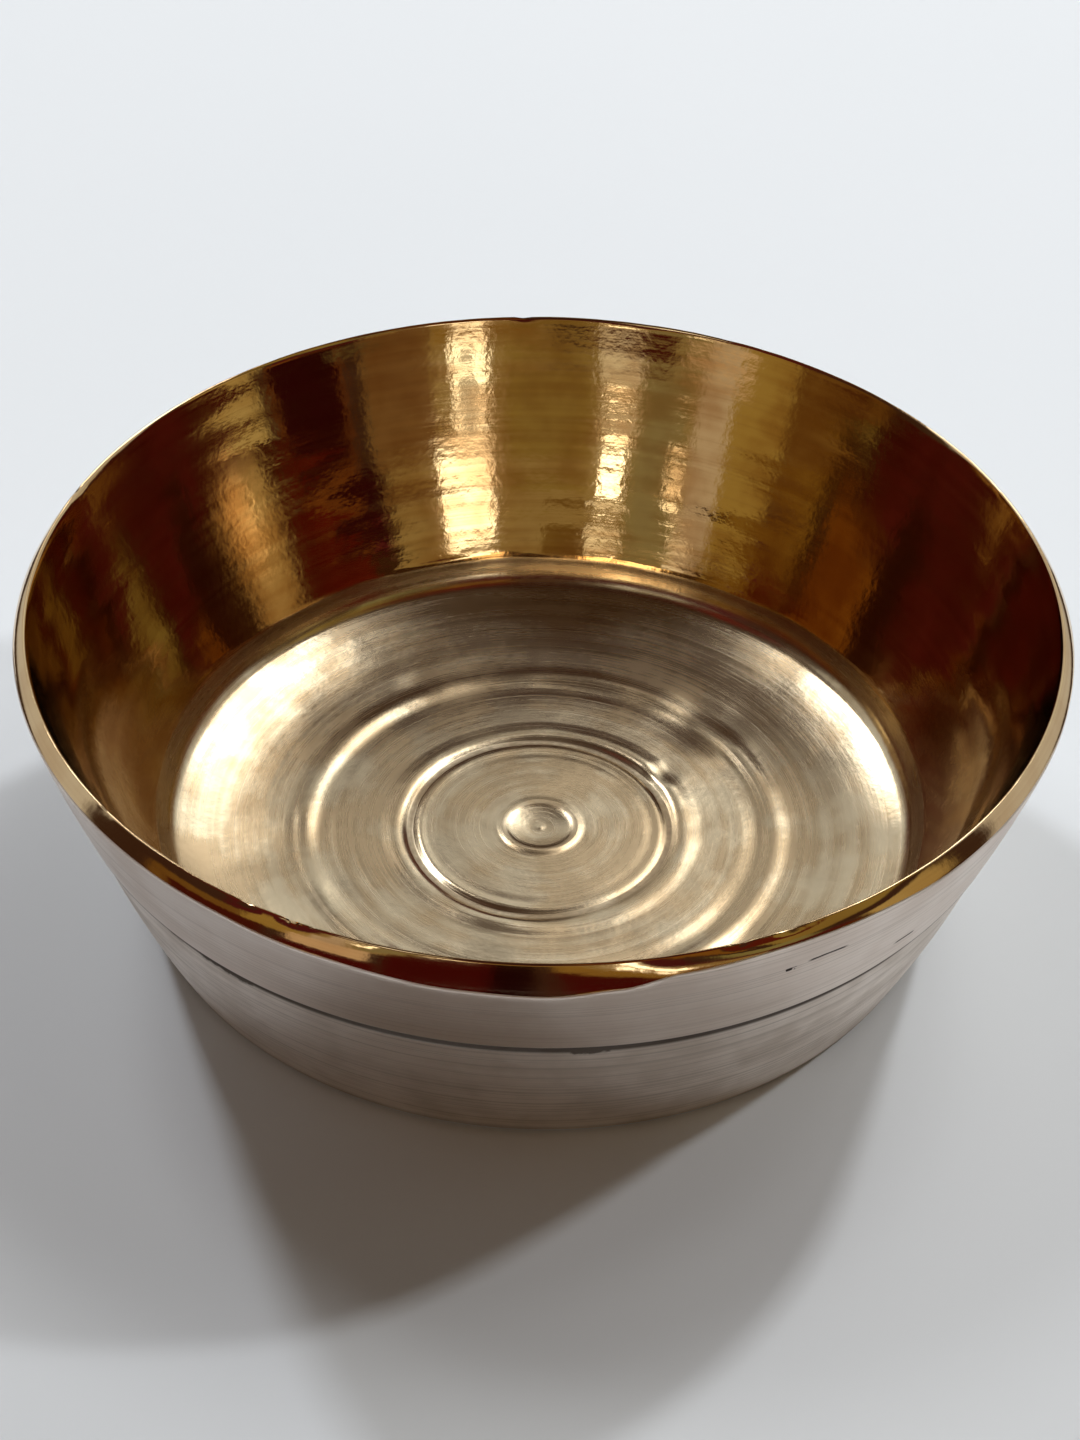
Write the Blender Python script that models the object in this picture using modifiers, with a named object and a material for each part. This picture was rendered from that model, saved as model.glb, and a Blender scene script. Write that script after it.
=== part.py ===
"""A small turned bowl in bell-metal bronze, cast and turned from one piece.

The bowl stands on the plane z = 0 with its axis on Z. It has no joint, seam or fastener, so
it is one solid: a profile turned once round its axis.
"""

import math

import bpy

COLLECTION = "turned_bronze_bowl"
STEPS = 96                  # facets round the bowl

# Heights and radii of the whole bowl, in metres.
RIM_HEIGHT = 0.0306
RIM_RADIUS = 0.0500         # at the lower edge of the rim's chamfer, the widest place
FOOT_RADIUS = 0.0396        # outer edge of the flat that it stands on
FLOOR_TOP = 0.0019          # thickness of the flat middle of the floor

# Rim: a polished chamfer that faces up and outwards.
CHAMFER_WIDTH = 0.0010
CHAMFER_DROP = 0.0020
LIP_EASE = 0.00025          # the rounding of the lip's inner corner

# Outside: a raised band under the rim, a turned step, then the tapered lower wall.
BAND_FOOT_HEIGHT = 0.0178
BAND_FOOT_RADIUS = 0.0464
BAND_SWELL = 0.00012
STEP_DEPTH = 0.0007
STEP_HEIGHT = 0.0008
LOWER_WALL_SWELL = 0.0004
FOOT_EDGE = 0.0007          # rounding between the lower wall and the foot

# Underside: a shallow turned hollow leaves a ring to stand on.
HOLLOW_RADIUS = 0.0250
HOLLOW_DEPTH = 0.0005
HOLLOW_SLOPE = 0.0010

# Inside: the straight wall, a fillet, the rising outer floor and the turned rings.
WALL_FOOT_RADIUS = 0.0380
WALL_FOOT_HEIGHT = 0.0068
WALL_SWELL = 0.0005
DISH_RADIUS = 0.0356        # where the fillet meets the dished floor
DISH_HEIGHT = 0.0036
OUTER_RING_RADIUS = 0.0236
INNER_GROOVE_RADIUS = 0.0130
RING_HEIGHT = 0.0003
RING_HALF_WIDTH = 0.0008
GROOVE_DEPTH = 0.0004
GROOVE_HALF_WIDTH = 0.0006
DIMPLE_RADIUS = 0.0036
DIMPLE_DEPTH = 0.0005

BRONZE_COLOUR = (0.62, 0.46, 0.29, 1.0)
BRONZE_ROUGHNESS = 0.28


def remove_everything():
    for item in list(bpy.data.objects):
        bpy.data.objects.remove(item, do_unlink=True)


def bowed_line(start, end, swell, pieces):
    """Points from start to end along a shallow bow that swells outwards by swell at mid-length."""
    points = []
    for i in range(pieces + 1):
        t = i / pieces
        bow = swell * 4.0 * t * (1.0 - t)
        points.append((start[0] + (end[0] - start[0]) * t + bow, start[1] + (end[1] - start[1]) * t))
    return points


def floor_height(radius):
    """Height of the floor without its rings: flat in the middle and dished up to the fillet."""
    flat_radius = INNER_GROOVE_RADIUS
    t = max(0.0, (radius - flat_radius) / (DISH_RADIUS - flat_radius))
    return FLOOR_TOP + (DISH_HEIGHT - FLOOR_TOP) * t * t


def dimple_points(pieces):
    """The concave dimple in the middle of the floor, from the axis outwards."""
    points = []
    for i in range(pieces + 1):
        radius = DIMPLE_RADIUS * i / pieces
        depth = DIMPLE_DEPTH * math.cos(0.5 * math.pi * i / pieces)
        points.append((radius, FLOOR_TOP - depth))
    return points


def groove_points():
    """A V-shaped groove round the flat middle of the floor."""
    return [
        (INNER_GROOVE_RADIUS - GROOVE_HALF_WIDTH, FLOOR_TOP),
        (INNER_GROOVE_RADIUS, FLOOR_TOP - GROOVE_DEPTH),
        (INNER_GROOVE_RADIUS + GROOVE_HALF_WIDTH, FLOOR_TOP + GROOVE_DEPTH / 2),
        (INNER_GROOVE_RADIUS + 3 * GROOVE_HALF_WIDTH, floor_height(INNER_GROOVE_RADIUS + 3 * GROOVE_HALF_WIDTH)),
    ]


def outer_ring_points():
    """The low ridge half-way out across the floor."""
    inner = OUTER_RING_RADIUS - RING_HALF_WIDTH
    outer = OUTER_RING_RADIUS + RING_HALF_WIDTH
    return [
        (inner, floor_height(inner)),
        (OUTER_RING_RADIUS, floor_height(OUTER_RING_RADIUS) + RING_HEIGHT),
        (outer, floor_height(outer)),
    ]


def dish_points(pieces):
    """The floor outside the ridge, rising to the fillet."""
    first = OUTER_RING_RADIUS + RING_HALF_WIDTH
    points = []
    for i in range(1, pieces + 1):
        radius = first + (DISH_RADIUS - first) * i / pieces
        points.append((radius, floor_height(radius)))
    return points


def fillet_points(pieces):
    """A curve from the dished floor into the foot of the wall, tangent to both."""
    corner = (WALL_FOOT_RADIUS - 0.0006, DISH_HEIGHT + 0.0004)
    start = (DISH_RADIUS, DISH_HEIGHT)
    end = (WALL_FOOT_RADIUS, WALL_FOOT_HEIGHT)
    points = []
    for i in range(1, pieces):
        t = i / pieces
        points.append(tuple((1 - t) ** 2 * a + 2 * t * (1 - t) * b + t * t * c
                            for a, b, c in zip(start, corner, end)))
    return points


def inside_points():
    lip_corner = (RIM_RADIUS - CHAMFER_WIDTH, RIM_HEIGHT)
    wall_foot = (WALL_FOOT_RADIUS, WALL_FOOT_HEIGHT)
    wall_top = (lip_corner[0] - LIP_EASE, RIM_HEIGHT - LIP_EASE)
    points = dimple_points(4) + groove_points() + outer_ring_points() + dish_points(4)
    points += fillet_points(5) + bowed_line(wall_foot, wall_top, WALL_SWELL, 5)
    return points + [lip_corner]


def outside_points():
    band_top = (RIM_RADIUS, RIM_HEIGHT - CHAMFER_DROP)
    band_foot = (BAND_FOOT_RADIUS, BAND_FOOT_HEIGHT)
    wall_top = (BAND_FOOT_RADIUS - STEP_DEPTH, BAND_FOOT_HEIGHT - STEP_HEIGHT)
    wall_foot = (FOOT_RADIUS + 0.3 * FOOT_EDGE, FOOT_EDGE)
    points = bowed_line(band_top, band_foot, BAND_SWELL, 3)
    points += bowed_line(wall_top, wall_foot, LOWER_WALL_SWELL, 5)
    return points + [(FOOT_RADIUS - 0.1 * FOOT_EDGE, 0.2 * FOOT_EDGE)]


def underside_points():
    return [
        (FOOT_RADIUS - 0.5 * FOOT_EDGE, 0.0),
        (HOLLOW_RADIUS, 0.0),
        (HOLLOW_RADIUS - HOLLOW_SLOPE, HOLLOW_DEPTH),
        (0.0, HOLLOW_DEPTH),
    ]


def bronze():
    material = bpy.data.materials.new("bell_metal_bronze")
    material.use_nodes = True
    shader = material.node_tree.nodes["Principled BSDF"]
    shader.inputs["Base Color"].default_value = BRONZE_COLOUR
    shader.inputs["Metallic"].default_value = 1.0
    shader.inputs["Roughness"].default_value = BRONZE_ROUGHNESS
    return material


def turned(name, profile, material, collection):
    """An object made by turning the profile, a list of (radius, height), once round Z."""
    mesh = bpy.data.meshes.new(name)
    vertices = [(radius, 0.0, height) for radius, height in profile]
    edges = [(i, i + 1) for i in range(len(profile) - 1)]
    mesh.from_pydata(vertices, edges, [])
    mesh.materials.append(material)
    item = bpy.data.objects.new(name, mesh)
    collection.objects.link(item)
    screw = item.modifiers.new("turn", "SCREW")
    screw.axis = "Z"
    screw.angle = math.tau
    screw.steps = STEPS
    screw.render_steps = STEPS
    screw.use_merge_vertices = True
    screw.merge_threshold = 0.00001
    screw.use_smooth_shade = True
    return item


def main():
    remove_everything()
    collection = bpy.data.collections.new(COLLECTION)
    bpy.context.scene.collection.children.link(collection)
    profile = inside_points() + outside_points() + underside_points()
    turned("bowl", profile, bronze(), collection)


main()
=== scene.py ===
"""A small turned bell-metal bowl on a pale table, lit by three soft lamps and its surroundings.

The metal mirrors soft-edged patches of light and colour, the ROOM list, in place of a plain studio.
"""

import math

import bmesh
import bpy
from mathutils import Matrix, Vector, noise


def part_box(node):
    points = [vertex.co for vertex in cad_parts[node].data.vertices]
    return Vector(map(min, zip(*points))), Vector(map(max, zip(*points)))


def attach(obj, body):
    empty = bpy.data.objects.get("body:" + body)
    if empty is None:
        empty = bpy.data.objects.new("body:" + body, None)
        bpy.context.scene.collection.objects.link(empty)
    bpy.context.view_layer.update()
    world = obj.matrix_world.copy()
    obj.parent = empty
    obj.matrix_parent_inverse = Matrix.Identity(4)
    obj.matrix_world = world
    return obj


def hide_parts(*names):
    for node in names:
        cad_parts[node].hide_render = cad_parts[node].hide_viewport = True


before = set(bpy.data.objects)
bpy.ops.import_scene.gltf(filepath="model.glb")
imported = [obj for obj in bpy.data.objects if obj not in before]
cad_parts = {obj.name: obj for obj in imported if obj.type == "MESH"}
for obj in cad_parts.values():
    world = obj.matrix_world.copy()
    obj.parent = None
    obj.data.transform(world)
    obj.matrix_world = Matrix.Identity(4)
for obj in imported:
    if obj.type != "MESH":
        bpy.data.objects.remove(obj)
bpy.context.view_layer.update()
LOW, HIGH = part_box("bowl")

MM = 0.001
RIM = (HIGH.x - LOW.x) / 2          # the widest radius, at the lower edge of the chamfer
TOP = HIGH.z

COLUMNS = 320                       # faces round the bowl

# Material slots of the one turned piece, in the order that the profile meets them.
FLOOR, WALL, LIP, BAND, LOWER, UNDER = range(6)


# ---------------------------------------------------------------- profile

# Every radius and height below is in millimetres. The rim's radius and height are the frame's.
RIM_MM = RIM / MM
TOP_MM = TOP / MM
CHAMFER_WIDTH = 1.1
SHALLOW_DROP = 0.9                  # each column is a mix of two profiles, one with a chamfer this
DEEP_DROP = 3.2                     # deep and one with a chamfer this deep
BAND_FOOT = (46.4, 17.8)
STEP_DEPTH = 0.7
STEP_HEIGHT = 0.8
FOOT_RADIUS = 39.6
FLOOR_TOP = 1.9
WALL_FOOT = (38.0, 6.8)
DISH_EDGE = (36.2, 3.9)
RIDGE_RADIUS = 23.6
GROOVE_RADIUS = 13.0
DIMPLE_RADIUS = 3.7
HOLLOW_RADIUS = 25.0
HOLLOW_DEPTH = 0.5
CENTRE_MARK = 0.10                  # how deep the mark in the middle of the underside is, a guess
LIP_INNER = (RIM_MM - CHAMFER_WIDTH - 0.22, TOP_MM - 0.25)
BAND_CORNER = (BAND_FOOT[0] - 0.15, BAND_FOOT[1] - 0.06)
FOOT_EDGE = (FOOT_RADIUS - 0.5, 0.0)


def smooth(t):
    """t kept between 0 and 1, and eased at both ends."""
    t = min(1.0, max(0.0, t))
    return t * t * (3.0 - 2.0 * t)


def hump(x, centre, half_width):
    """1 at the centre and 0 beyond the half width, with a rounded top."""
    t = abs(x - centre) / half_width
    return 0.5 + 0.5 * math.cos(math.pi * t) if t < 1.0 else 0.0


def floor_rings(radius):
    """The rings turned into the floor: round the dimple, the groove and its ridge, the outer ridge."""
    height = 0.13 * hump(radius, DIMPLE_RADIUS, 0.8)
    height -= 0.05 * hump(radius, 11.2, 0.8)
    height -= 0.30 * hump(radius, GROOVE_RADIUS, 0.95)
    height += 0.15 * hump(radius, GROOVE_RADIUS + 1.6, 1.7)
    height -= 0.05 * hump(radius, RIDGE_RADIUS - 2.0, 1.6)
    return height + 0.12 * hump(radius, RIDGE_RADIUS, 1.7)


def floor_height(radius):
    """Height of the floor: a dish with a dimple in the middle, and its rings."""
    dish = max(0.0, (radius - GROOVE_RADIUS) / (DISH_EDGE[0] - GROOVE_RADIUS))
    height = FLOOR_TOP + (DISH_EDGE[1] - FLOOR_TOP) * dish ** 4
    if radius < DIMPLE_RADIUS:
        height -= 0.22 * math.cos(0.5 * math.pi * radius / DIMPLE_RADIUS)
    height += 0.05 * hump(radius, 0.0, 0.9)
    return height + floor_rings(radius)


def floor_section():
    """The floor from its middle to the dish's edge, without the middle point."""
    points = []
    steps = 120
    for i in range(1, steps + 1):
        radius = DISH_EDGE[0] * i / steps
        points.append((radius, floor_height(radius), FLOOR))
    return points


def curve(start, corner, end, pieces, slot):
    """A quadratic curve from start to end, without its start point."""
    points = []
    for i in range(1, pieces + 1):
        t = i / pieces
        r, z = ((1 - t) ** 2 * a + 2 * t * (1 - t) * b + t * t * c for a, b, c in zip(start, corner, end))
        points.append((r, z, slot))
    return points


def bow(start, end, swell, pieces, slot):
    """A shallow bow from start to end, without its start point."""
    points = []
    for i in range(1, pieces + 1):
        t = i / pieces
        r = start[0] + (end[0] - start[0]) * t + 4 * swell * t * (1 - t)
        points.append((r, start[1] + (end[1] - start[1]) * t, slot))
    return points


def inside_section():
    """The corner at the edge of the floor, and the inner wall."""
    points = curve(DISH_EDGE, (WALL_FOOT[0] - 0.5, DISH_EDGE[1] + 0.5), WALL_FOOT, 12, FLOOR)
    return points + bow(WALL_FOOT, LIP_INNER, 0.5, 52, WALL)


def band_top(drop):
    """Where the band starts, just below the chamfer's edge."""
    return (RIM_MM - 0.02, TOP_MM - drop - 0.30)


def lip_section(drop):
    """The rounded inner corner of the lip, the chamfer, and its soft outer edge."""
    crest = (RIM_MM - CHAMFER_WIDTH + 0.06, TOP_MM - 0.02)
    edge = (RIM_MM - 0.07, TOP_MM - drop + 0.10)
    points = curve(LIP_INNER, (RIM_MM - CHAMFER_WIDTH - 0.1, TOP_MM + 0.01), crest, 5, LIP)
    points += bow(crest, edge, 0.09, 12, LIP)
    return points + curve(edge, (RIM_MM + 0.02, TOP_MM - drop), band_top(drop), 3, BAND)


def outside_section(drop):
    """The band, the step under it, the lower wall and the corner of the foot."""
    step_in = (BAND_FOOT[0] - STEP_DEPTH, BAND_FOOT[1] - 0.28)
    wall_top = (BAND_FOOT[0] - STEP_DEPTH, BAND_FOOT[1] - STEP_HEIGHT)
    wall_foot = (FOOT_RADIUS + 0.2, 0.7)
    edge = (BAND_FOOT[0], BAND_FOOT[1] + 0.15)
    points = bow(band_top(drop), edge, 0.12, 20, BAND)
    points += curve(edge, BAND_FOOT, BAND_CORNER, 2, BAND)
    points += bow(BAND_CORNER, step_in, 0.0, 2, LOWER)
    points += bow(step_in, wall_top, -0.05, 2, LOWER)
    points += bow(wall_top, wall_foot, 0.4, 24, LOWER)
    return points + curve(wall_foot, (FOOT_RADIUS - 0.05, 0.0), FOOT_EDGE, 4, UNDER)


def underside_section():
    """The flat ring that it stands on and the shallow hollow inside it, without the middle point."""
    inner = (HOLLOW_RADIUS, 0.0)
    hollow = (HOLLOW_RADIUS - 1.0, HOLLOW_DEPTH)
    points = bow(FOOT_EDGE, inner, 0.0, 8, UNDER) + bow(inner, hollow, 0.0, 2, UNDER)
    steps = 16
    for i in range(1, steps):
        radius = hollow[0] * (1 - i / steps)
        points.append((radius, HOLLOW_DEPTH + CENTRE_MARK * hump(radius, 0.0, 2.0), UNDER))
    return points


# ---------------------------------------------------------------- mesh

def degrees_apart(a, b):
    """The angle between two azimuths, from 0 to 180 degrees."""
    return abs((a - b + 180.0) % 360.0 - 180.0)


# Dents in the lip's inner corner: azimuth in degrees, half width in degrees, depth in millimetres.
# The last three are at the back, and guesses.
LIP_DENTS = [
    (-114.8, 0.9, 0.34), (-112.9, 0.7, 0.28), (-110.9, 0.6, 0.30), (-78.0, 0.5, 0.30),
    (-69.5, 0.9, 0.26), (-67.0, 0.8, 0.22), (-64.6, 0.9, 0.30), (-62.4, 0.7, 0.22),
    (-60.2, 0.6, 0.18), (-122.0, 0.8, 0.20), (-120.2, 0.7, 0.18), (-141.0, 0.8, 0.16),
    (24.0, 0.8, 0.18), (93.0, 1.0, 0.20), (161.0, 0.7, 0.16),
]

# Shallow dents in the floor: place across and back from the middle, half width and depth, all in
# millimetres.
FLOOR_DENTS = [
    ((12.3, 8.2), 2.4, 0.16), ((16.5, 17.0), 6.5, 0.32), ((-13.0, 21.5), 3.0, 0.10),
    ((20.0, -17.0), 6.0, 0.16), ((-25.0, -4.0), 7.0, 0.14), ((-6.0, -20.0), 5.0, 0.08),
]

# The chamfer's drop round the bowl, in millimetres, as it was ground by hand: (azimuth, drop).
# From -180 to -10, the side that can be seen, it follows the photograph, and the rest is a guess.
CHAMFER_DROPS = [
    (-180.0, 1.5), (-150.0, 1.5), (-126.0, 1.7), (-112.0, 2.2), (-98.0, 2.8), (-89.0, 3.0),
    (-82.0, 2.4), (-76.0, 1.4), (-66.0, 1.0), (-56.0, 1.1), (-44.0, 1.6), (-10.0, 1.4),
    (35.0, 1.9), (80.0, 1.5), (130.0, 2.0), (180.0, 1.5),
]

# Casting flaws on the band: azimuth, half width in degrees, height, half height, depth in millimetres.
# The last two are at the back, and guesses.
BAND_FLAWS = [
    (-63.8, 0.55, 25.6, 0.22, 0.22), (-59.6, 2.6, 26.0, 0.13, 0.16), (-47.0, 1.6, 20.9, 0.14, 0.12),
    (71.0, 1.4, 24.0, 0.14, 0.14), (150.0, 2.0, 21.5, 0.12, 0.12),
]


def chamfer_drop(azimuth):
    """The drop at an azimuth, eased between its neighbours in the list."""
    azimuth = (azimuth + 180.0) % 360.0 - 180.0
    for (a, start), (b, end) in zip(CHAMFER_DROPS, CHAMFER_DROPS[1:]):
        if azimuth <= b:
            return start + (end - start) * smooth((azimuth - a) / (b - a))
    return CHAMFER_DROPS[-1][1]


def unevenness(slot, place, height):
    """How far the surface stands off the turned profile, in millimetres: made-up noise, and the dents."""
    if slot == WALL:
        broad = noise.noise(place * 0.085) * 0.05
        waves = noise.noise(Vector((place.x * 0.05, place.y * 0.05, height * 0.30))) * 0.028
        rings = noise.noise(Vector((place.x * 0.012, place.y * 0.012, height * 0.60))) * 0.020
        return (broad + waves + rings) * smooth((height - WALL_FOOT[1]) / 3.0)
    if slot == FLOOR:
        dapple = noise.noise(place * 0.13 + Vector((7.0, 3.0, 0.0))) * 0.09
        fine = noise.noise(place * 0.42) * 0.014
        wear = 1.3 * noise.noise(place * 0.09 + Vector((1.0, 9.0, 5.0)))
        dents = sum(deep * hump((place.xy - Vector(at)).length, 0.0, wide)
                    for at, wide, deep in FLOOR_DENTS)
        return dapple + fine + wear * floor_rings(place.xy.length) - dents
    if slot == BAND:
        return noise.noise(place * 0.12) * 0.03
    if slot == LOWER:
        return noise.noise(place * 0.10) * 0.04
    if slot == LIP:
        return noise.noise(place * 0.16) * 0.02
    return 0.0


def lip_offset(azimuth, height, radius):
    """Dents and small nicks along the lip's inner corner."""
    near_corner = hump(math.hypot(radius - (RIM_MM - CHAMFER_WIDTH), height - TOP_MM), 0.0, 0.75)
    dent = sum(depth * hump(degrees_apart(azimuth, at), 0.0, half) for at, half, depth in LIP_DENTS)
    angle = math.radians(azimuth)
    ragged = noise.noise(Vector((math.cos(angle) * 22, math.sin(angle) * 22, 4.0)))
    return -near_corner * (dent + 0.06 * max(0.0, ragged))


def flaw_offset(azimuth, height):
    """How far the band is sunk at its casting flaws."""
    depth = 0.0
    for at, half, level, half_height, deep in BAND_FLAWS:
        depth += deep * hump(degrees_apart(azimuth, at), 0.0, half) * hump(height, level, half_height * 2.2)
    return -depth


def normals(profile):
    """Outward normal of the profile at each point, as (radial, vertical)."""
    out = []
    last = len(profile) - 1
    for i in range(len(profile)):
        a, b = profile[max(0, i - 1)], profile[min(last, i + 1)]
        dr, dz = b[0] - a[0], b[1] - a[1]
        length = math.hypot(dr, dz) or 1.0
        out.append((-dz / length, dr / length))
    return out


def whole_profile(drop):
    """The bowl's half section, from the middle of the floor round to the middle of the underside."""
    return (floor_section() + inside_section() + lip_section(drop) + outside_section(drop)
            + underside_section())


def turned_bowl():
    """The profile turned round the axis in columns, each with its own chamfer and unevenness."""
    shallow, deep = whole_profile(SHALLOW_DROP), whole_profile(DEEP_DROP)
    columns = []
    for j in range(COLUMNS):
        azimuth = 360.0 * j / COLUMNS
        share = (chamfer_drop(azimuth) - SHALLOW_DROP) / (DEEP_DROP - SHALLOW_DROP)
        profile = [(a[0] + (b[0] - a[0]) * share, a[1] + (b[1] - a[1]) * share, a[2])
                   for a, b in zip(shallow, deep)]
        c, s = math.cos(math.radians(azimuth)), math.sin(math.radians(azimuth))
        column = []
        for (radius, height, slot), (nr, nz) in zip(profile, normals(profile)):
            off = unevenness(slot, Vector((radius * c, radius * s, height)), height)
            if abs(height - TOP_MM) < 1.0:
                off += lip_offset(azimuth, height, radius)
            if slot == BAND:
                off += flaw_offset(azimuth, height)
            r, z = radius + nr * off, height + nz * off
            column.append((r * c * MM, r * s * MM, max(0.0, z) * MM))
        columns.append(column)
    mesh = bmesh.new()
    rings = [[mesh.verts.new(columns[j][i]) for j in range(COLUMNS)] for i in range(len(shallow))]
    slots = [slot for _, _, slot in shallow]
    for i in range(len(rings) - 1):
        for j in range(COLUMNS):
            k = (j + 1) % COLUMNS
            face = mesh.faces.new((rings[i][j], rings[i + 1][j], rings[i + 1][k], rings[i][k]))
            face.material_index = slots[i + 1]
    middle_top = mesh.verts.new((0.0, 0.0, floor_height(0.0) * MM))
    middle_under = mesh.verts.new((0.0, 0.0, (HOLLOW_DEPTH + CENTRE_MARK) * MM))
    for j in range(COLUMNS):
        k = (j + 1) % COLUMNS
        mesh.faces.new((middle_top, rings[0][j], rings[0][k])).material_index = FLOOR
        mesh.faces.new((middle_under, rings[-1][k], rings[-1][j])).material_index = UNDER
    bmesh.ops.recalc_face_normals(mesh, faces=mesh.faces)
    for face in mesh.faces:
        face.smooth = True
    data = bpy.data.meshes.new("turned_bowl")
    mesh.to_mesh(data)
    mesh.free()
    piece = bpy.data.objects.new("turned_bowl", data)
    bpy.context.scene.collection.objects.link(piece)
    return piece


# ---------------------------------------------------------------- materials

class Nodes:
    """Short calls for the node types that the materials use."""

    def __init__(self, tree):
        self.tree = tree

    def add(self, kind, **settings):
        node = self.tree.nodes.new(kind)
        for key, value in settings.items():
            setattr(node, key, value)
        return node

    def put(self, socket, value):
        if isinstance(value, bpy.types.NodeSocket):
            self.tree.links.new(value, socket)
        else:
            socket.default_value = value

    def math(self, operation, a, b=0.0, clamp=False):
        node = self.add("ShaderNodeMath", operation=operation, use_clamp=clamp)
        self.put(node.inputs[0], a)
        self.put(node.inputs[1], b)
        return node.outputs[0]

    def vector(self, x, y, z):
        node = self.add("ShaderNodeCombineXYZ")
        for socket, value in zip(node.inputs, (x, y, z)):
            self.put(socket, value)
        return node.outputs[0]

    def noise(self, vector, scale, detail=2.0, roughness=0.5):
        node = self.add("ShaderNodeTexNoise")
        self.put(node.inputs["Vector"], vector)
        self.put(node.inputs["Scale"], scale)
        self.put(node.inputs["Detail"], detail)
        self.put(node.inputs["Roughness"], roughness)
        return node.outputs["Fac"]

    def remap(self, value, low, high, to_low=0.0, to_high=1.0):
        node = self.add("ShaderNodeMapRange", interpolation_type="SMOOTHSTEP")
        for name, v in (("Value", value), ("From Min", low), ("From Max", high),
                        ("To Min", to_low), ("To Max", to_high)):
            self.put(node.inputs[name], v)
        return node.outputs["Result"]

    def mix(self, factor, a, b):
        node = self.add("ShaderNodeMix", data_type="RGBA")
        self.put(node.inputs[0], factor)
        self.put(node.inputs[6], a)
        self.put(node.inputs[7], b)
        return node.outputs[2]

    def bump(self, height, distance, normal=None):
        node = self.add("ShaderNodeBump")
        self.put(node.inputs["Height"], height)
        self.put(node.inputs["Distance"], distance)
        if normal is not None:
            self.put(node.inputs["Normal"], normal)
        return node.outputs["Normal"]


def colour(r, g, b):
    return (r, g, b, 1.0)


# Near-black: casting skin in the band's flaws and below the step, and painted shade in the floor's groove,
# round its dimple, at the band's foot and in the step's corner.
SKIN_AND_PAINTED_SHADE = colour(0.024, 0.013, 0.008)


def turned_metal(name, bright, deep, rough, across, lines=1.0, mottle=1.0, shade=1.0, skin_and_shade=None):
    """Bell metal with the marks of the lathe running round the bowl.

    across says what the marks are spaced along: "radius" on the floor and underside, "height"
    on the walls. rough is the (polished, dull) roughness. lines is how deep the marks are, shade
    how dark, and mottle how patchy the colour is. The last argument takes the node helper, the
    cosine and sine of the azimuth, the height and radius in millimetres and a noise of specks, and
    returns a mask of near-black: casting skin, and painted shade in hollows and under the band.
    """
    material = bpy.data.materials.new(name)
    material.use_nodes = True
    n = Nodes(material.node_tree)
    shader = material.node_tree.nodes["Principled BSDF"]
    place = n.add("ShaderNodeTexCoord").outputs["Object"]
    split = n.add("ShaderNodeSeparateXYZ")
    n.put(split.inputs[0], place)
    x, y, z = (n.math("MULTIPLY", split.outputs[i], 1 / MM) for i in range(3))
    radius = n.math("SQRT", n.math("ADD", n.math("MULTIPLY", x, x), n.math("MULTIPLY", y, y)))
    safe = n.math("MAXIMUM", radius, 0.01)
    c, s = n.math("DIVIDE", x, safe), n.math("DIVIDE", y, safe)
    along = radius if across == "radius" else z

    def marks(turns, spacing, detail):
        """Noise drawn out round the bowl: turns is its scale round it, and spacing per millimetre."""
        return n.noise(n.vector(n.math("MULTIPLY", c, turns), n.math("MULTIPLY", s, turns),
                                n.math("MULTIPLY", along, spacing)), 1.0, detail, 0.6)

    fine = marks(0.5, 6.0, 3.0)
    rings = marks(0.3, 0.9, 2.0)
    scratches = marks(6.0, 12.0, 2.0)
    patches = n.noise(n.vector(x, y, z), 0.13, 3.0, 0.55)
    specks = n.noise(n.vector(x, y, z), 1.3, 2.0, 0.5)

    tint = n.remap(n.math("ADD", n.math("MULTIPLY", patches, 0.7), n.math("MULTIPLY", rings, 0.3)),
                   0.38, 0.62)
    base = n.mix(n.math("MULTIPLY", tint, mottle, clamp=True), bright, deep)
    dark = colour(*(0.62 * v for v in deep[:3]))
    base = n.mix(n.math("MULTIPLY", n.remap(fine, 0.50, 0.70), 0.45 * shade, clamp=True), base, dark)
    base = n.mix(n.math("MULTIPLY", n.remap(scratches, 0.62, 0.78), 0.25 * shade, clamp=True), base, dark)

    roughness = n.remap(n.math("ADD", n.math("MULTIPLY", fine, 0.5), n.math("MULTIPLY", patches, 0.5)),
                        0.36, 0.66, rough[0], rough[1])
    if skin_and_shade is not None:
        # mix in the near-black casting skin and painted shade that the mask gives
        mask = skin_and_shade(n, c, s, z, radius, specks)
        base = n.mix(mask, base, SKIN_AND_PAINTED_SHADE)
        roughness = n.math("ADD", roughness, n.math("MULTIPLY", mask, 0.5), clamp=True)
        n.put(shader.inputs["Metallic"], n.math("SUBTRACT", 1.0, n.math("MULTIPLY", mask, 0.6)))
    else:
        shader.inputs["Metallic"].default_value = 1.0
    n.put(shader.inputs["Base Color"], base)
    n.put(shader.inputs["Roughness"], roughness)
    wave = n.bump(rings, 0.00003 * lines)
    brush = n.bump(fine, 0.000007 * lines, normal=wave)
    n.put(shader.inputs["Normal"], n.bump(specks, 0.000010 * mottle, normal=brush))
    return material


def window(n, value, low, high, soft):
    """1 where value is between low and high, fading to 0 over soft on both sides."""
    rise = n.remap(value, low - soft, low)
    fall = n.remap(value, high, high + soft, 1.0, 0.0)
    return n.math("MULTIPLY", rise, fall)


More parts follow.
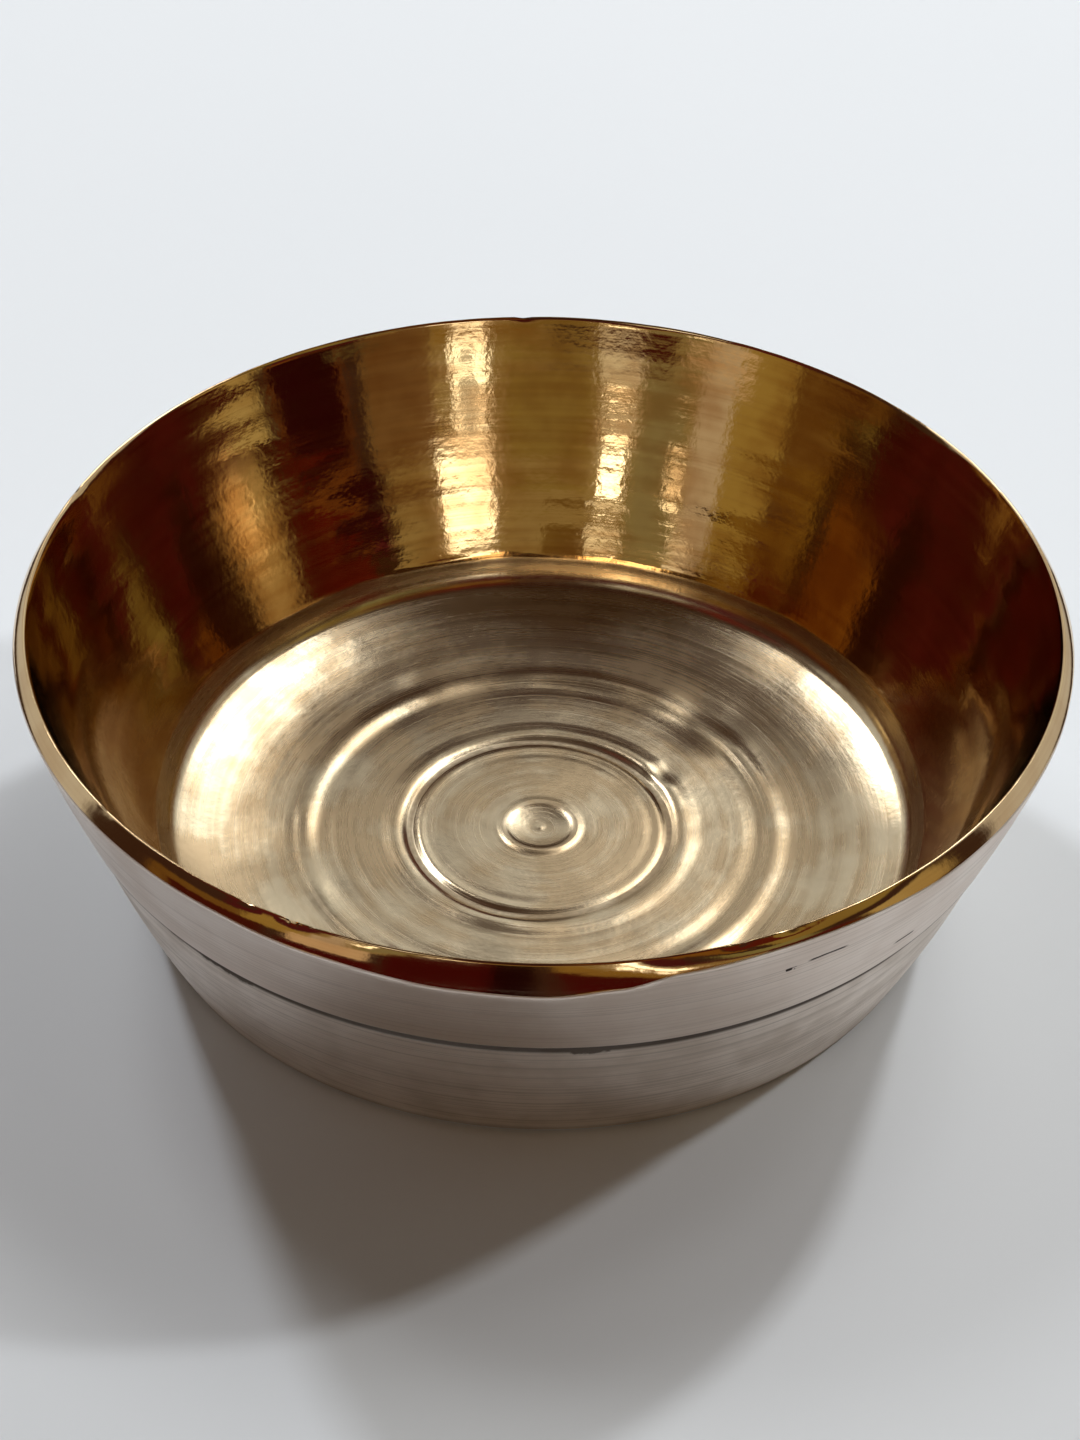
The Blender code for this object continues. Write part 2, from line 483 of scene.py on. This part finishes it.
def flaw_pits_and_foot_shade(n, c, s, z, radius, specks):
    """Dark pits where the casting flaws are, and a thin line of painted shade along the band's foot, where
    it turns under.
    """
    # painted shade: the band's lowest edge made dark all the way round
    mask = n.remap(z, BAND_FOOT[1] + 0.06, BAND_FOOT[1] + 0.22, 1.0, 0.0)
    for azimuth, half, level, half_height, _ in BAND_FLAWS:
        a = math.radians(azimuth)
        facing = n.math("ADD", n.math("MULTIPLY", c, math.cos(a)), n.math("MULTIPLY", s, math.sin(a)))
        ragged = n.math("MULTIPLY", n.math("SUBTRACT", specks, 0.5), 0.0006)
        across = n.remap(n.math("ADD", facing, ragged), math.cos(math.radians(half)),
                         math.cos(math.radians(half * 0.6)))
        up = window(n, z, level - half_height * 0.6, level + half_height * 0.6, half_height)
        mask = n.math("MAXIMUM", mask, n.math("MULTIPLY", across, up))
    return mask


def step_skin_and_shade(n, c, s, z, radius, specks):
    """Near-black under the band's step: painted shade in its corner all the way round, and casting skin
    reaching further down in some places round the bowl.
    """
    # casting skin, reaching further down where this noise round the bowl is high
    uneven = n.noise(n.vector(n.math("MULTIPLY", c, 4.0), n.math("MULTIPLY", s, 4.0), 0.0), 1.0, 3.0, 0.6)
    foot = n.remap(uneven, 0.50, 0.70, BAND_FOOT[1] - 0.9, BAND_FOOT[1] - 1.9)
    ragged = n.math("MULTIPLY", n.math("SUBTRACT", specks, 0.5), 1.2)
    low = n.remap(n.math("ADD", n.math("SUBTRACT", z, foot), ragged), -0.2, 0.35)
    # painted shade: a strip about a millimetre deep under the band's overhang, all the way round
    corner = n.remap(z, BAND_FOOT[1] - 1.60, BAND_FOOT[1] - 1.05)
    return n.math("MULTIPLY", n.math("MAXIMUM", low, corner), 0.85)


def floor_painted_shade(n, c, s, z, radius, specks):
    """Painted shade in the bottom of the floor's groove and round the edge of its dimple, broken up by
    specks.
    """
    # painted shade: the groove's bottom and the dimple's edge made dark
    groove = window(n, radius, GROOVE_RADIUS - 0.18, GROOVE_RADIUS + 0.18, 0.22)
    dimple = window(n, radius, DIMPLE_RADIUS - 0.25, DIMPLE_RADIUS, 0.2)
    worn = n.remap(specks, 0.10, 0.75, 0.5, 1.0)
    both = n.math("ADD", n.math("MULTIPLY", groove, 0.55), n.math("MULTIPLY", dimple, 0.30), clamp=True)
    return n.math("MULTIPLY", both, worn)


def bowl_materials():
    """One finish for each slot. The real bowl is one metal, but each slot has its own colour here.

    The colours were set to match the photograph under this scene's light.
    """
    return [
        turned_metal("floor_bronze", colour(0.81, 0.69, 0.50), colour(0.58, 0.45, 0.29), (0.18, 0.32),
                     "radius", 0.18, 1.2, 0.15, floor_painted_shade),
        turned_metal("wall_bronze", colour(0.80, 0.61, 0.35), colour(0.60, 0.38, 0.18), (0.05, 0.12),
                     "height", 0.20, 1.0, 0.25),
        turned_metal("lip_bronze", colour(0.82, 0.62, 0.38), colour(0.66, 0.44, 0.24), (0.05, 0.12),
                     "height", 0.10, 0.6, 0.2),
        turned_metal("band_bronze", colour(0.84, 0.74, 0.66), colour(0.72, 0.61, 0.53), (0.32, 0.46),
                     "height", 1.0, 0.7, 1.0, flaw_pits_and_foot_shade),
        turned_metal("lower_bronze", colour(0.85, 0.77, 0.70), colour(0.66, 0.58, 0.51), (0.42, 0.58),
                     "height", 1.5, 1.0, 1.3, step_skin_and_shade),
        turned_metal("foot_bronze", colour(0.66, 0.52, 0.38), colour(0.47, 0.35, 0.24), (0.30, 0.48),
                     "radius", 1.0, 1.0, 1.0),
    ]


# ---------------------------------------------------------------- stage, light and camera

TABLE_REACH = 1.6                   # in rim radii: how much of the table the metal mirrors
TABLE_HALF_SIZE = 60                # in rim radii
CONTACT = 0.7 * MM                  # rays shorter than this are between the foot and the table
LAMP_DISTANCE = 2.2                 # in metres
WARM_WHITE = (1.0, 0.985, 0.96)
COOL_WHITE = (0.98, 0.985, 1.0)


def table_top():
    """The pale table, which is part of the stage and not of the object."""
    mesh = bmesh.new()
    bmesh.ops.create_grid(mesh, x_segments=1, y_segments=1, size=TABLE_HALF_SIZE * RIM)
    bmesh.ops.translate(mesh, verts=mesh.verts, vec=(0.0, 0.0, -0.1 * MM))
    data = bpy.data.meshes.new("table_top")
    mesh.to_mesh(data)
    mesh.free()
    top = bpy.data.objects.new("table_top", data)
    bpy.context.scene.collection.objects.link(top)
    material = bpy.data.materials.new("pale_laminate")
    material.use_nodes = True
    n = Nodes(material.node_tree)
    shader = material.node_tree.nodes["Principled BSDF"]
    place = n.add("ShaderNodeTexCoord").outputs["Object"]
    cloud = n.noise(place, 9.0, 3.0)
    n.put(shader.inputs["Base Color"], n.mix(cloud, colour(0.61, 0.66, 0.715), colour(0.635, 0.68, 0.735)))
    shader.inputs["Roughness"].default_value = 0.6
    shader.inputs["Specular IOR Level"].default_value = 0.3
    # Seen from below, and from the foot that stands on it, the table lets light through, so that
    # the bowl's underside can be seen.
    clear = n.add("ShaderNodeBsdfTransparent")
    side = n.add("ShaderNodeNewGeometry").outputs["Backfacing"]
    path = n.add("ShaderNodeLightPath")
    touching = n.math("LESS_THAN", path.outputs["Ray Length"], CONTACT)
    # A real table wouldn't do this: a mirrored ray that passes its near part goes on through the
    # rest of it, to the ROOM patches.
    beyond = n.math("MULTIPLY", path.outputs["Is Glossy Ray"],
                    n.math("GREATER_THAN", path.outputs["Ray Length"], TABLE_REACH * RIM))
    choose = n.add("ShaderNodeMixShader")
    n.put(choose.inputs[0], n.math("MAXIMUM", n.math("MAXIMUM", side, touching), beyond))
    n.put(choose.inputs[1], shader.outputs[0])
    n.put(choose.inputs[2], clear.outputs[0])
    n.put(material.node_tree.nodes["Material Output"].inputs["Surface"], choose.outputs[0])
    data.materials.append(material)


def soft_light(name, azimuth, elevation, width, height, watts, tint):
    """A rectangular light aimed at the bowl. Azimuth is in degrees from +X towards +Y."""
    a, e = math.radians(azimuth), math.radians(elevation)
    away = Vector((math.cos(a) * math.cos(e), math.sin(a) * math.cos(e), math.sin(e)))
    light = bpy.data.lights.new(name, "AREA")
    light.shape = "RECTANGLE"
    light.size, light.size_y = width, height
    light.energy = watts
    light.color = tint
    item = bpy.data.objects.new(name, light)
    item.location = away * LAMP_DISTANCE + Vector((0, 0, TOP / 2))
    item.rotation_euler = away.to_track_quat("Z", "Y").to_euler()
    item.visible_glossy = False         # the metal mirrors the room's bright patches instead
    bpy.context.scene.collection.objects.link(item)


# The surroundings that the metal mirrors, as soft-edged patches, each over the ones before it:
# azimuth and its half width, bottom and top elevation, the softness of its edges (all in degrees),
# and a colour. They are fitted to what the photograph's wall and lip mirror, as seen from the
# main camera, so from other sides they stand where nothing is known.
ROOM = [
    # the pale wall behind, below a dark ceiling
    (90.0, 85.0, -12.0, 42.5, 5.0, (0.53, 0.52, 0.48)),
    # bright panels on it, to the right and left
    (72.0, 9.0, 30.0, 44.0, 6.0, (0.90, 0.88, 0.81)),
    (62.0, 9.0, 46.0, 55.0, 4.0, (9.0, 8.8, 8.3)),
    (38.0, 9.0, 48.0, 58.0, 5.0, (5.0, 4.8, 4.5)),
    (123.0, 9.0, 44.0, 53.0, 4.0, (10.0, 9.8, 9.4)),
    (77.0, 6.0, 43.0, 52.0, 4.0, (2.8, 2.7, 2.5)),
    # high in front: dark red, olive and brown, with a pale patch
    (-162.0, 22.0, 44.0, 62.0, 4.0, (0.10, 0.012, 0.006)),
    (-18.0, 22.0, 36.0, 62.0, 4.0, (0.24, 0.17, 0.045)),
    (-66.0, 19.0, 42.0, 51.0, 3.0, (0.20, 0.09, 0.015)),
    (-48.0, 30.0, 51.5, 66.0, 2.0, (0.09, 0.012, 0.006)),
    (-123.0, 13.0, 39.0, 52.0, 3.0, (0.50, 0.46, 0.34)),
    (-122.0, 4.5, 40.0, 44.5, 2.0, (1.7, 1.65, 1.5)),
    (-44.0, 12.0, 26.0, 35.0, 2.5, (0.22, 0.20, 0.08)),
    # in front: dark red, with a darker patch in the middle
    (-106.0, 45.0, 14.0, 38.0, 3.0, (0.070, 0.010, 0.011)),
    (-45.0, 18.0, 14.0, 25.0, 2.0, (0.070, 0.010, 0.011)),
    (-91.0, 8.0, 35.0, 43.0, 3.0, (0.030, 0.008, 0.005)),
    # low in front: dim gold, broken by darker and paler patches
    (-92.0, 44.0, 7.0, 21.0, 3.0, (0.27, 0.19, 0.075)),
    (-15.0, 9.0, -6.0, 21.0, 4.0, (0.40, 0.30, 0.12)),
    (-35.0, 8.5, 3.0, 16.0, 2.5, (0.13, 0.040, 0.008)),
    (-35.0, 7.5, -8.0, 9.5, 1.6, (0.022, 0.002, 0.002)),
    (-42.0, 8.5, 12.6, 14.6, 1.2, (0.022, 0.002, 0.002)),
    (-56.0, 8.0, 4.0, 12.6, 2.2, (0.16, 0.085, 0.030)),
    (-90.0, 10.0, 9.8, 14.0, 1.8, (0.22, 0.15, 0.04)),
    (-96.0, 7.0, 18.4, 21.0, 1.2, (0.15, 0.085, 0.02)),
    (-117.0, 6.0, 9.0, 18.0, 3.0, (0.22, 0.18, 0.085)),
    (-139.0, 7.0, 3.0, 15.0, 2.5, (0.30, 0.20, 0.050)),
    (-129.0, 4.0, 6.0, 16.0, 2.5, (0.46, 0.37, 0.27)),
    (-157.0, 11.0, -30.0, 10.0, 3.0, (0.15, 0.075, 0.016)),
    # a tall bright strip, and small bright spots beside it
    (-72.3, 3.6, 7.5, 11.2, 1.4, (2.8, 2.7, 2.4)),
    (-72.0, 2.0, 10.0, 21.0, 1.6, (0.60, 0.55, 0.44)),
    (-69.5, 6.5, 14.4, 17.6, 1.6, (3.0, 2.85, 2.5)),
    (-106.0, 3.0, 13.7, 15.2, 1.2, (3.6, 3.4, 2.9)),
    (-106.0, 5.0, 7.0, 10.5, 2.0, (0.66, 0.58, 0.44)),
    (-106.0, 5.0, 18.9, 20.2, 1.0, (1.1, 0.98, 0.74)),
    (-122.0, 1.8, 13.4, 14.6, 1.0, (2.0, 1.8, 1.4)),
    (-126.0, 3.0, 17.2, 19.2, 1.0, (0.90, 0.78, 0.60)),
    # below eye level, for the lip: dark red, amber, pale brown and olive
    (-104.0, 13.0, -30.0, 6.0, 2.5, (0.050, 0.003, 0.002)),
    (-94.0, 4.0, -30.0, 6.0, 2.5, (0.012, 0.001, 0.001)),
    (-76.0, 11.0, 0.0, 6.5, 2.5, (0.24, 0.14, 0.03)),
    (-76.0, 11.0, -30.0, -1.0, 2.5, (0.055, 0.004, 0.003)),
    (-128.0, 8.0, -4.0, 5.0, 2.5, (0.55, 0.40, 0.25)),
    (-128.0, 10.0, -30.0, -7.0, 3.0, (0.055, 0.004, 0.003)),
    (-152.0, 11.0, -30.0, 1.0, 3.0, (0.055, 0.008, 0.004)),
    (-52.0, 11.0, -30.0, 1.0, 3.0, (0.15, 0.12, 0.05)),
]


def room():
    """The surroundings: the ROOM patches, and a plain pale backdrop for what the camera sees itself.

    Azimuth doesn't wrap round, so a patch that crosses 180 degrees is cut off there.
    """
    world = bpy.data.worlds.new("studio")
    bpy.context.scene.world = world
    world.use_nodes = True
    n = Nodes(world.node_tree)
    background = world.node_tree.nodes["Background"]
    direction = n.add("ShaderNodeTexCoord").outputs["Generated"]
    split = n.add("ShaderNodeSeparateXYZ")
    n.put(split.inputs[0], direction)
    x, y, z = split.outputs
    degree = 180 / math.pi
    azimuth = n.math("MULTIPLY", n.math("ARCTAN2", y, x), degree)
    elevation = n.math("MULTIPLY", n.math("ARCSINE", z), degree)
    base = n.mix(n.remap(y, -0.3, 0.4), colour(0.045, 0.020, 0.012), colour(0.055, 0.032, 0.017))
    for centre, half, bottom, top, soft, level in ROOM:
        turn = n.math("ABSOLUTE", n.math("SUBTRACT", azimuth, centre))
        across = n.remap(turn, half - soft / 2, half + soft / 2, 1.0, 0.0)
        tall = window(n, elevation, bottom, top, soft)
        base = n.mix(n.math("MULTIPLY", across, tall), base, colour(*level))
    below = n.remap(z, -0.60, -0.45, 1.0, 0.0)
    base = n.mix(below, base, colour(0.10, 0.10, 0.10))
    seen = n.add("ShaderNodeLightPath").outputs["Is Camera Ray"]
    n.put(background.inputs["Color"], n.mix(seen, base, colour(0.72, 0.73, 0.75)))
    background.inputs["Strength"].default_value = 1.0


def main_camera():
    """The camera, placed in units of the rim's radius and aimed down at the bowl from the front."""
    camera = bpy.data.cameras.new("camera")
    camera.lens, camera.sensor_width = 79.9, 36.0
    camera.clip_start, camera.clip_end = 0.01, 20.0
    item = bpy.data.objects.new("camera", camera)
    pitch, roll = 0.700, 0.021
    place = Vector((-0.004, -4.77, 4.333)) * RIM
    turn = Matrix.Rotation(math.pi / 2 - pitch, 4, "X") @ Matrix.Rotation(roll, 4, "Z")
    item.matrix_world = Matrix.Translation(place) @ turn
    bpy.context.scene.collection.objects.link(item)
    bpy.context.scene.camera = item


# ---------------------------------------------------------------- the scene

main_camera()
table_top()
bowl = turned_bowl()
for material in bowl_materials():
    bowl.data.materials.append(material)
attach(bowl, "root")
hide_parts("bowl")

# The three lamps behind the bowl, to its right and left, whose shadows overlap in front of it.
soft_light("lamp_right", 23.0, 38.0, 0.13, 0.13, 15.8, WARM_WHITE)
soft_light("lamp_back_right", 56.0, 38.0, 0.15, 0.15, 22.4, WARM_WHITE)
soft_light("lamp_back_left", 122.0, 28.0, 0.19, 0.16, 25.0, COOL_WHITE)
room()

bpy.context.scene.view_settings.view_transform = "Standard"
